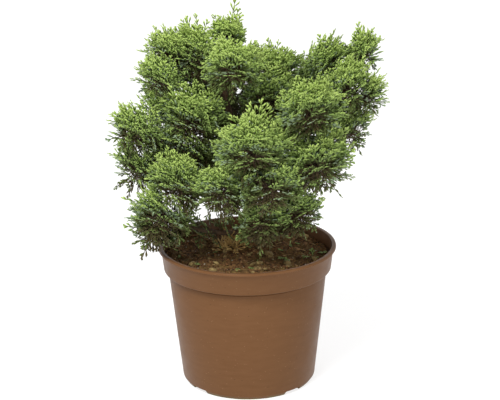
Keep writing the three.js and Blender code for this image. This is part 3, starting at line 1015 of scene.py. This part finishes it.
def bead_shape():
    """A flattened bead from 0 to 1 along X: a three-sided coarse sphere with its ring slid outwards."""
    bm = bmesh.new()
    bmesh.ops.create_uvsphere(bm, u_segments=3, v_segments=2, radius=1)
    for vert in bm.verts:
        up = vert.co.z
        if abs(up) > 0.99:
            vert.co = (0 if up < 0 else 1, 0, 0)
            continue
        angle = math.atan2(vert.co.y, vert.co.x) + math.pi / 2
        vert.co = (BEAD["widest"], 0.58 * math.cos(angle), 0.5 * math.sin(angle))
    bmesh.ops.recalc_face_normals(bm, faces=bm.faces)
    return arrays_of(bm)


BEAD_POINTS, BEAD_CORNERS = bead_shape()
print("bead:", len(BEAD_POINTS), "points,", len(BEAD_CORNERS), "faces")

# %% The plan of a spray
SPRAY = {
    "bead": 7.8,  # millimetres along a shoot from bead to bead
    "overlap": 2.0,
    "gap": 3.2,  # between side shoots, which leave left and right in turn
    "angle": math.radians(29),
    "angle_jitter": math.radians(6),
    "major_reach": 0.92,  # of what is left of the midrib beyond it
    "minor_reach": 9.0,
    "twiglet_gap": 3.6,
    "twiglet_reach": 9.5,
    "twiglet_angle": math.radians(27),
    "start": 0.06,  # the lowest side shoot, as a share of the length
    "tilt": math.radians(5),  # shoots rise out of the spray's plane, or dip, by up to this
}


class Plan:
    """The beads of a flat spray: place, heading, tilt, length, width, how far out, and 1 at a shoot's end."""

    def __init__(self, seed, length, slim=False):
        self.rng = np.random.default_rng(seed)
        self.length, self.slim = length, slim
        self.rows = []
        s = SPRAY
        self.shoot((0, 0, 0), 0, length, 0)
        x, side, number = s["start"] * length, 1, 0
        while x < length - 1.5:
            major = number % 4 < 2 and not slim
            left = length - x
            reach = s["major_reach"] * left if major else min(s["minor_reach"], 0.8 * left + 1.2)
            reach *= 1 - 0.25 * self.rng.random()
            angle = side * (s["angle"] + s["angle_jitter"] * self.either())
            self.branch((x, 0, 0), angle, max(reach, 2.2), major)
            x += s["gap"] * (1 + 0.15 * self.either())
            side, number = -side, number + 1

    def either(self):
        return 2 * self.rng.random() - 1

    def branch(self, place, angle, reach, major):
        s = SPRAY
        tilt = s["tilt"] * self.either()
        self.shoot(place, angle, reach, tilt)
        if not major or reach < 6:
            return
        along, side = 2.4, 1
        while along < reach - 1.5:
            spot = self.walk(place, angle, tilt, along)
            short = min(s["twiglet_reach"], 0.75 * (reach - along) + 1.6) * (1 - 0.25 * self.rng.random())
            turn = angle + side * (s["twiglet_angle"] + 0.15 * self.either())
            self.shoot(spot, turn, short, tilt + s["tilt"] * self.either())
            along += s["twiglet_gap"] * (1 + 0.15 * self.either())
            side = -side

    def walk(self, place, angle, tilt, distance):
        flat = distance * math.cos(tilt)
        x, y, z = place
        return (x + flat * math.cos(angle), y + flat * math.sin(angle), z + distance * math.sin(tilt))

    def shoot(self, place, angle, reach, tilt):
        """A row of beads from a place along a heading, that overlap and end in a pointed one."""
        s = SPRAY
        count = max(1, round(reach / s["bead"]))
        step = reach / count
        for k in range(count):
            spot = self.walk(place, angle, tilt, k * step)
            out = math.hypot(spot[0], spot[1]) / self.length
            width = BEAD["width"] * (1 + 0.1 * self.either()) * (1.25 if self.slim else 1)
            last = k == count - 1
            self.rows.append([*spot, angle, tilt, step + s["overlap"] * (not last), width, out, last])


def plan_arrays(seed, length, slim=False):
    """Points of all the beads of a plan, for each bead how far out it lies, and whether it ends a shoot."""
    rows = np.array(Plan(seed, length, slim).rows)
    x, y, z, angle, tilt, bead, width, out, last = rows.T
    local = BEAD_POINTS[None] * np.stack([bead, width, np.full(len(rows), BEAD["thick"])], 1)[:, None]
    level = local[..., 0] * np.cos(tilt)[:, None]
    points = np.stack(
        [
            x[:, None] + level * np.cos(angle)[:, None] - local[..., 1] * np.sin(angle)[:, None],
            y[:, None] + level * np.sin(angle)[:, None] + local[..., 1] * np.cos(angle)[:, None],
            z[:, None] + local[..., 0] * np.sin(tilt)[:, None] + local[..., 2],
        ],
        2,
    )
    return points * MM, out, last


PLAN_LENGTHS = (15, 19, 23, 28, 34)
PLANS_EACH = 4
PLANS = {
    (length, slim): [plan_arrays(100 * length + k, length, slim) for k in range(PLANS_EACH)]
    for length in PLAN_LENGTHS
    for slim in (False, True)
}
print("beads in a spray:", {size: len(plans[0][1]) for size, plans in PLANS.items()})

# %% Where the sprays grow
# Each mass has an outer shell of sprays and some inside it. A spray leaves its twig at "foot", a share of
# the mass's reach, and is laid over by "slant" away from the mass's heading, like the tiles of a roof.
SHELLS = (
    {"count": 112, "spread": math.radians(160), "foot": 0.42, "slant": math.radians(55), "out_to": 1.0},
    {"count": 56, "spread": math.radians(165), "foot": 0.14, "slant": math.radians(36), "out_to": 0.78},
)
POLE = math.radians(50)  # nearer to the heading than this the sprays stand straighter
RISE = 0.25  # how much every spray turns up towards the light
BURIED = 0.7  # a spray whose tip lies this deep in another mass, as a share of its radius, isn't grown
LEAN = math.radians(8)  # seeded turn of a spray to either side
# A few slim sprays stand out beyond the others. Of those whose heading rises less than "hanging", half are
# slim.
STRAY = {"share": 0.07, "reach": 1.14, "hanging": -0.1}
LIMB_SPRAYS = {
    "gap": 3.6 * MM,  # from one spray to the next along a bough or stem
    "from": 0.2,  # the first, as a share of the bough
    "spread": math.radians(62),
    "reach": 0.8,  # as a share of the radius of the mass at the bough's end
}
CUP = 0.2  # how far a spray's rim curls up, as a share of its length
SHORTEST = 9 * MM  # no shorter spray grows from a hub


class Spray:
    """A placed spray: its foot, heading, face, length and seed. A slim one has only short side shoots."""

    def __init__(self, hub, foot, along, face, length, seed, slim=False):
        self.hub, self.foot, self.along, self.length, self.seed = hub, foot, along, length, seed
        self.slim = slim
        self.face = (face - along * face.dot(along)).normalized()
        self.side = self.face.cross(along)


def buried(tip, hub):
    return any((tip - other.place).length < BURIED * other.radius for other in HUBS if other is not hub)


def sprays_of(hub):
    found = []
    for number, shell in enumerate(SHELLS):
        for i in range(shell["count"]):
            seed = hub.seed * 397 + number * 211 + i
            height = (i + 0.2 + 0.6 * chance(seed, 1, 1)) / shell["count"] * (1 - math.cos(shell["spread"]))
            turn = i * TUFT["golden_turn"] + math.tau * chance(hub.seed, number, 2)
            polar = math.acos(1 - height)
            way, out = dome_way(hub.ahead, polar, turn)
            slant = shell["slant"] * (0.8 + 0.4 * chance(seed, 2, 1)) * min(1, polar / POLE)
            tangent = (out - way * out.dot(way)).normalized()
            along = (way * math.cos(slant) + tangent * math.sin(slant) + UP * RISE).normalized()
            along.rotate(Matrix.Rotation(LEAN * (2 * chance(seed, 3, 1) - 1), 3, way))
            start = way * shell["foot"] * hub.radius
            reach = hub.reach(way) * shell["out_to"] * (1.04 - 0.24 * chance(seed, 4, 1))
            stray = number == 0 and chance(seed, 5, 1) < STRAY["share"]
            reach *= STRAY["reach"] if stray else 1
            hanging = along.z < STRAY["hanging"] and chance(seed, 9, 1) < 0.5
            ahead = start.dot(along)
            length = math.sqrt(max(0, ahead * ahead + reach * reach - start.length_squared)) - ahead
            foot = hub.place + start
            if length > SHORTEST and not buried(foot + along * length, hub):
                found.append(Spray(hub, foot, along, way, length, seed, slim=stray or hanging))
    return found


def sprays_along(walk, hub, seed):
    """Sprays round a limb or stem, one every few millimetres, each turned on from the last."""
    found = []
    for number in range(int(walk.length / LIMB_SPRAYS["gap"])):
        share = (number + 0.5) * LIMB_SPRAYS["gap"] / walk.length
        foot = walk.at(share)
        ahead = (walk.at(min(1, share + 0.05)) - walk.at(max(0, share - 0.05))).normalized()
        key = seed * 131 + number
        polar = LIMB_SPRAYS["spread"] * (0.75 + 0.5 * chance(key, 1, 6))
        along, out = dome_way(ahead, polar, number * TUFT["golden_turn"] + seed)
        length = hub.radius * LIMB_SPRAYS["reach"] * (0.75 + 0.4 * chance(key, 2, 6))
        found.append(Spray(hub, foot, along, out + UP * 0.5, length, key))
    return found


def limb_sprays(bough):
    """The sprays along the outer part of a bough, and along the stem of each of its masses."""
    hubs = [hub for hub in HUBS if hub.bough == bough]
    line = LINES[bough]
    outer = Line(*[line.at(LIMB_SPRAYS["from"] + (1 - LIMB_SPRAYS["from"]) * share) for share in (0, 0.5, 1)])
    found = sprays_along(outer, hubs[0], hubs[0].seed)
    for hub in hubs:
        found += sprays_along(Line(hub.start, hub.place), hub, hub.seed + 0.5)
    return found


def long_shoots(hub):
    """Each long shoot is a slim spray that faces the front, with two shorter ones beside it."""
    found = []
    for number, (heading, lift, reach) in enumerate(SHOOTS.get(hub.name, [])):
        for side, share in ((0, 1), (1, 0.72), (-1, 0.6)):
            turn = Matrix.Rotation(math.radians(heading + 25 * side), 3, "Z")
            rise = Matrix.Rotation(-math.radians(lift - 14 * abs(side)), 3, "Y")
            along = turn @ rise @ Vector((1, 0, 0))
            face = FRONT + UP * 0.3
            foot = hub.place + along * 0.1 * reach * MM
            seed = hub.seed * 61 + number * 5 + side
            found.append(Spray(hub, foot, along, face, 0.9 * share * reach * MM, seed, slim=True))
    return found


KEPT_OFF = {"soil": 2 * MM, "rim_above": 3 * MM, "rim_beside": 8 * MM}


def clear_of_pot(spray):
    """False where a spray would grow into the pot's wall or the compost."""
    for share in (0.5, 1):
        tip = spray.foot + spray.along * spray.length * share
        away = math.hypot(tip.x, tip.y)
        if tip.z < SOIL["mound_top"] + KEPT_OFF["soil"] and away < SOIL["radius"]:
            return False
        over_rim = abs(away - POT["collar_top"]) < KEPT_OFF["rim_beside"]
        if over_rim and tip.z < POT["height"] + KEPT_OFF["rim_above"]:
            return False
    return True


SPRAYS = [spray for hub in HUBS for spray in sprays_of(hub)]
SPRAYS += [spray for bough in CROWN for spray in limb_sprays(bough)]
SPRAYS += [spray for hub in HUBS for spray in long_shoots(hub)]
SPRAYS = [spray for spray in SPRAYS if clear_of_pot(spray)]
print("sprays:", len(SPRAYS))

# %% [markdown]
# ## Leaf colours
# New growth is yellow-green and sits at the ends of the high, outer sprays. Older leaves are a deeper
# green, some have a grey-blue bloom, and the shaded ones inside turn olive. So each bead gets its tint by
# where it grows, and this also paints light and shade: beads high up and on the outer, upper side of a mass
# are painted lighter, as painted light from above, and those low in a mass and near the crown's axis are
# painted darker, as painted shade. The beads of one tint are joined to pieces of their own, each with its
# own plain pair of greens.

# %% Tints
TINTS = {
    "fresh": (srgb(162, 186, 94), srgb(180, 202, 110)),
    "bright": (srgb(143, 169, 84), srgb(162, 186, 100)),
    "green": (srgb(122, 148, 74), srgb(142, 165, 92)),
    "bloom": (srgb(128, 149, 112), srgb(150, 168, 134)),
    "deep": (srgb(90, 104, 50), srgb(109, 122, 65)),
    "olive": (srgb(74, 67, 35), srgb(96, 87, 50)),
    "dry": (srgb(186, 148, 84), srgb(224, 190, 124)),
}
# Each bead's light score paints light and shade: far out from a mass's middle, above it and high in the crown
# a bead is painted lighter, as if lit from above, and AXIS_SHADE paints shade near the axis, partly the olive
# of old inner leaves. Towards a spray's tip and at a shoot's end it is lighter for new growth.
LIGHT = {
    "outwards": 0.42,  # for each radius of the mass that a bead lies from its middle
    "upwards": 0.42,  # and for each radius above it
    "along_spray": 0.25,
    "shoot_end": 0.14,
    "height": 0.17,  # for each "span" above "level"
    "level": 0.25,
    "span": 0.12,
}
AXIS_SHADE = {"depth": 0.5, "radius": 72 * MM, "top": 0.345}  # darker round the crown's axis, below the top
BLOOM = {"patch": 16 * MM, "above": 0.22}  # size of the blue patches, and how rare they are
BANDS = ((0.26, "olive"), (0.48, "deep"), (0.7, "green"), (0.9, "bright"), (9, "fresh"))


def tints_of(spray, spots, out, last):
    """Bead tints, partly painted light and shade: lighter far out, at shoot ends and high up, darker near the
    axis.
    """
    away = (spots - np.array(spray.hub.place)) / spray.hub.radius
    light = LIGHT["outwards"] * np.linalg.norm(away, axis=1) + LIGHT["upwards"] * away[:, 2]
    high = LIGHT["height"] * (spots[:, 2] - LIGHT["level"]) / LIGHT["span"]
    light += LIGHT["along_spray"] * out + LIGHT["shoot_end"] * last + high
    rng = np.random.default_rng(int(spray.seed * 7) + 5)
    light += 0.1 * (chance(spray.seed, 4, 5) - 0.5) + 0.12 * (rng.random(len(spots)) - 0.5)
    from_axis = np.hypot(*(spots - np.array(CROWN_AXIS))[:, :2].T)
    shade = AXIS_SHADE["depth"] * np.clip(1 - from_axis / AXIS_SHADE["radius"], 0, 1)
    light -= shade * (spots[:, 2] < AXIS_SHADE["top"])
    names = np.array([name for _, name in BANDS])
    tints = names[np.searchsorted([top for top, _ in BANDS], light)]
    tip = spray.foot + spray.along * spray.length
    if noise.noise(tip / BLOOM["patch"]) + 0.3 * chance(spray.seed, 5, 5) > BLOOM["above"]:
        tints = np.where(tints == "green", "bloom", tints)
    return tints


# %% [markdown]
# ## Openings and litter
# Between the masses the sky shows through, so no leaf grows in a few narrow ragged channels. They are
# aimed from the camera's place, so they open in the front view. Under the crown lie dead sprays and green
# bits that have dropped. They are the same flat sprays, laid on the compost.

# %% Openings
# Each opening runs along a line from the camera's place. It is given by where it crosses the upright plane
# through the pot's axis (x, z) and by its radius, in millimetres.
OPENINGS = (
    ((-6, 317), 5),
    ((2, 325), 3.5),
    ((17, 337), 3.5),
    ((-46, 186), 7),
    ((-34, 181), 5),
    ((-23, 209), 3.5),
    ((94, 263), 4),
    ((108, 262), 4),
    ((119, 275), 4),
)


RAGGED = np.array((900, 1300, 700))  # how fast an opening's edge wavers along X, Y and Z


def in_opening(spots):
    """True for each spot that lies in one of the openings."""
    eye = np.array(EYE)
    ragged = 1 + 0.5 * np.sin(spots @ RAGGED)
    inside = np.zeros(len(spots), dtype=bool)
    for (x, z), radius in OPENINGS:
        way = np.array((x, 0, z)) * MM - eye
        way /= np.linalg.norm(way)
        away = spots - eye
        inside |= np.linalg.norm(away - np.outer(away @ way, way), axis=1) < radius * MM * ragged
    return inside


# %% Fallen sprays
# A few dead sprays stand at the foot of the trunk, and green bits of spray lie about on the compost.
LITTER = {
    "dry": {"count": 44, "middle": (-18 * MM, 5 * MM), "spread": 10 * MM, "length": 20 * MM, "lift": 60},
    "green": {"count": 20, "middle": (0, -8 * MM), "spread": 74 * MM, "length": 11 * MM, "lift": 16},
}


def litter_sprays(tint, seed):
    """Small slim sprays that lie or stand on the compost, all of one tint."""
    given = LITTER[tint]
    rng = np.random.default_rng(seed)
    found = []
    for number in range(given["count"]):
        x, y = random_spot(rng, given["spread"], given["middle"])
        heading = rng.random() * math.tau
        lift = math.radians(given["lift"] * rng.random())
        along = Vector((math.cos(heading), math.sin(heading), math.tan(lift))).normalized()
        foot = Vector((x, y, ground(x, y) + 0.8 * MM))
        length = given["length"] * (0.6 + 0.6 * rng.random())
        found.append(Spray(None, foot, along, UP, length, seed + number, slim=True))
    return found


# %% Lay the sprays out
def laid(spray):
    """A spray's beads where it grows: points, a bead's corners, how far out each is and if it is last."""
    size = min(PLAN_LENGTHS, key=lambda length: abs(length * MM - spray.length))
    plans = PLANS[size, spray.slim]
    points, out, last = plans[int(chance(spray.seed, 6, 5) * len(plans)) % len(plans)]
    scale = spray.length / (size * MM)
    mirror = 1 if chance(spray.seed, 7, 5) > 0.5 else -1
    x, y, z = points[..., 0] * scale, points[..., 1] * scale * mirror, points[..., 2]
    cup = CUP * (0.4 + 1.2 * chance(spray.seed, 8, 5))
    bend = cup * (0.6 * x * x + y * y) / spray.length
    axes = np.array([spray.along, spray.side, spray.face])
    placed = np.stack([x, y, z + bend], -1) @ axes + np.array(spray.foot)
    corners = BEAD_CORNERS if mirror > 0 else BEAD_CORNERS[:, ::-1]
    return placed, corners, out, last


def bead_uv():
    """Across and along the bead, for the scale pattern."""
    across = BEAD_POINTS[:, 1] + 0.5
    return np.stack([across, BEAD_POINTS[:, 0]], 1)


def bead_arrays(placed, corners):
    """Beads as one array of points and one of corners."""
    shifts = np.arange(len(placed)) * len(BEAD_POINTS)
    return placed.reshape(-1, 3), (corners[None] + shifts[:, None, None]).reshape(-1, 3)


def leaf_pieces():
    """Gathers the beads of every spray by tint."""
    gathered = {tint: [] for tint in TINTS}
    for spray in SPRAYS:
        placed, corners, out, last = laid(spray)
        spots = placed.mean(axis=1)
        tints = np.where(in_opening(spots), "none", tints_of(spray, spots, out, last))
        for tint in set(tints) - {"none"}:
            gathered[tint].append(bead_arrays(placed[tints == tint], corners))
    for seed, tint in enumerate(LITTER):
        for spray in litter_sprays(tint, 60 + seed):
            placed, corners, _, _ = laid(spray)
            gathered[tint].append(bead_arrays(placed, corners))
    return gathered


# %% Leaf finish
def leaf_finish(name, low, high):
    """Scale leaves: a soft mottle of two greens and the relief of overlapping scales."""
    finish = Finish(name, 0.55, 0.35)
    uv = finish.node("ShaderNodeUVMap", uv_map="along_shoot").outputs["UV"]
    finish.color(finish.mottled(120, 2.2, low, high))
    bands = {"wave_type": "BANDS", "bands_direction": "Y"}
    wave = finish.node("ShaderNodeTexWave", {"Scale": 2.0, "Distortion": 0}, **bands)
    finish.link(uv, wave.inputs["Vector"])
    finish.bump(wave.outputs["Fac"], 0.35, 0.3 * MM)
    return finish.material


# %% Leaf pieces
MASSES = [f"foliage_{hub.name}" for hub in HUBS]


def add_leaves():
    for tint, parts in leaf_pieces().items():
        name = f"leaves_{tint}"
        finish = leaf_finish(name, *TINTS[tint])
        points, corners = joined(parts)
        uv = np.tile(bead_uv(), (len(points) // len(BEAD_POINTS), 1))
        add_piece(name, joined_mesh(name, points, corners, uv), finish, MASSES)


add_leaves()


# %% Twigs
def rod_shape(sides):
    """A rod of radius 1 from 0 to 1 along Z."""
    bm = bmesh.new()
    bmesh.ops.create_cone(bm, cap_ends=True, segments=sides, radius1=1, radius2=0.6, depth=1)
    bmesh.ops.translate(bm, verts=bm.verts, vec=(0, 0, 0.5))
    return arrays_of(bm)


def rod_matrix(start, end, radius):
    way = end - start
    turn = way.to_track_quat("Z", "X").to_matrix().to_4x4()
    return Matrix.Translation(start) @ turn @ Matrix.Diagonal((radius, radius, way.length, 1))


def twig_mesh():
    stems = [rod_matrix(hub.start, hub.place, TUFT["stem"]) for hub in HUBS]
    mains = [
        rod_matrix(spray.hub.place, spray.foot, 0.35 * MM)
        for spray in SPRAYS
        if 1 * MM < (spray.foot - spray.hub.place).length < 0.6 * spray.hub.radius
    ]
    fine = [
        rod_matrix(spray.foot, spray.foot + spray.along * spray.length * 0.3, 0.4 * MM)
        for spray in SPRAYS
    ]
    parts = [copies(rod_shape(8), stems), copies(rod_shape(3), mains), copies(rod_shape(3), fine)]
    return joined_mesh("twigs", *joined(parts))


add_piece("twigs", twig_mesh(), BARK_FINISH, MASSES)

# %% [markdown]
# ## Triangle count
# The triangles of all the pieces are added up and printed.

# %% Triangle count
print("triangles in all:", sum(count for _, count in PIECES))
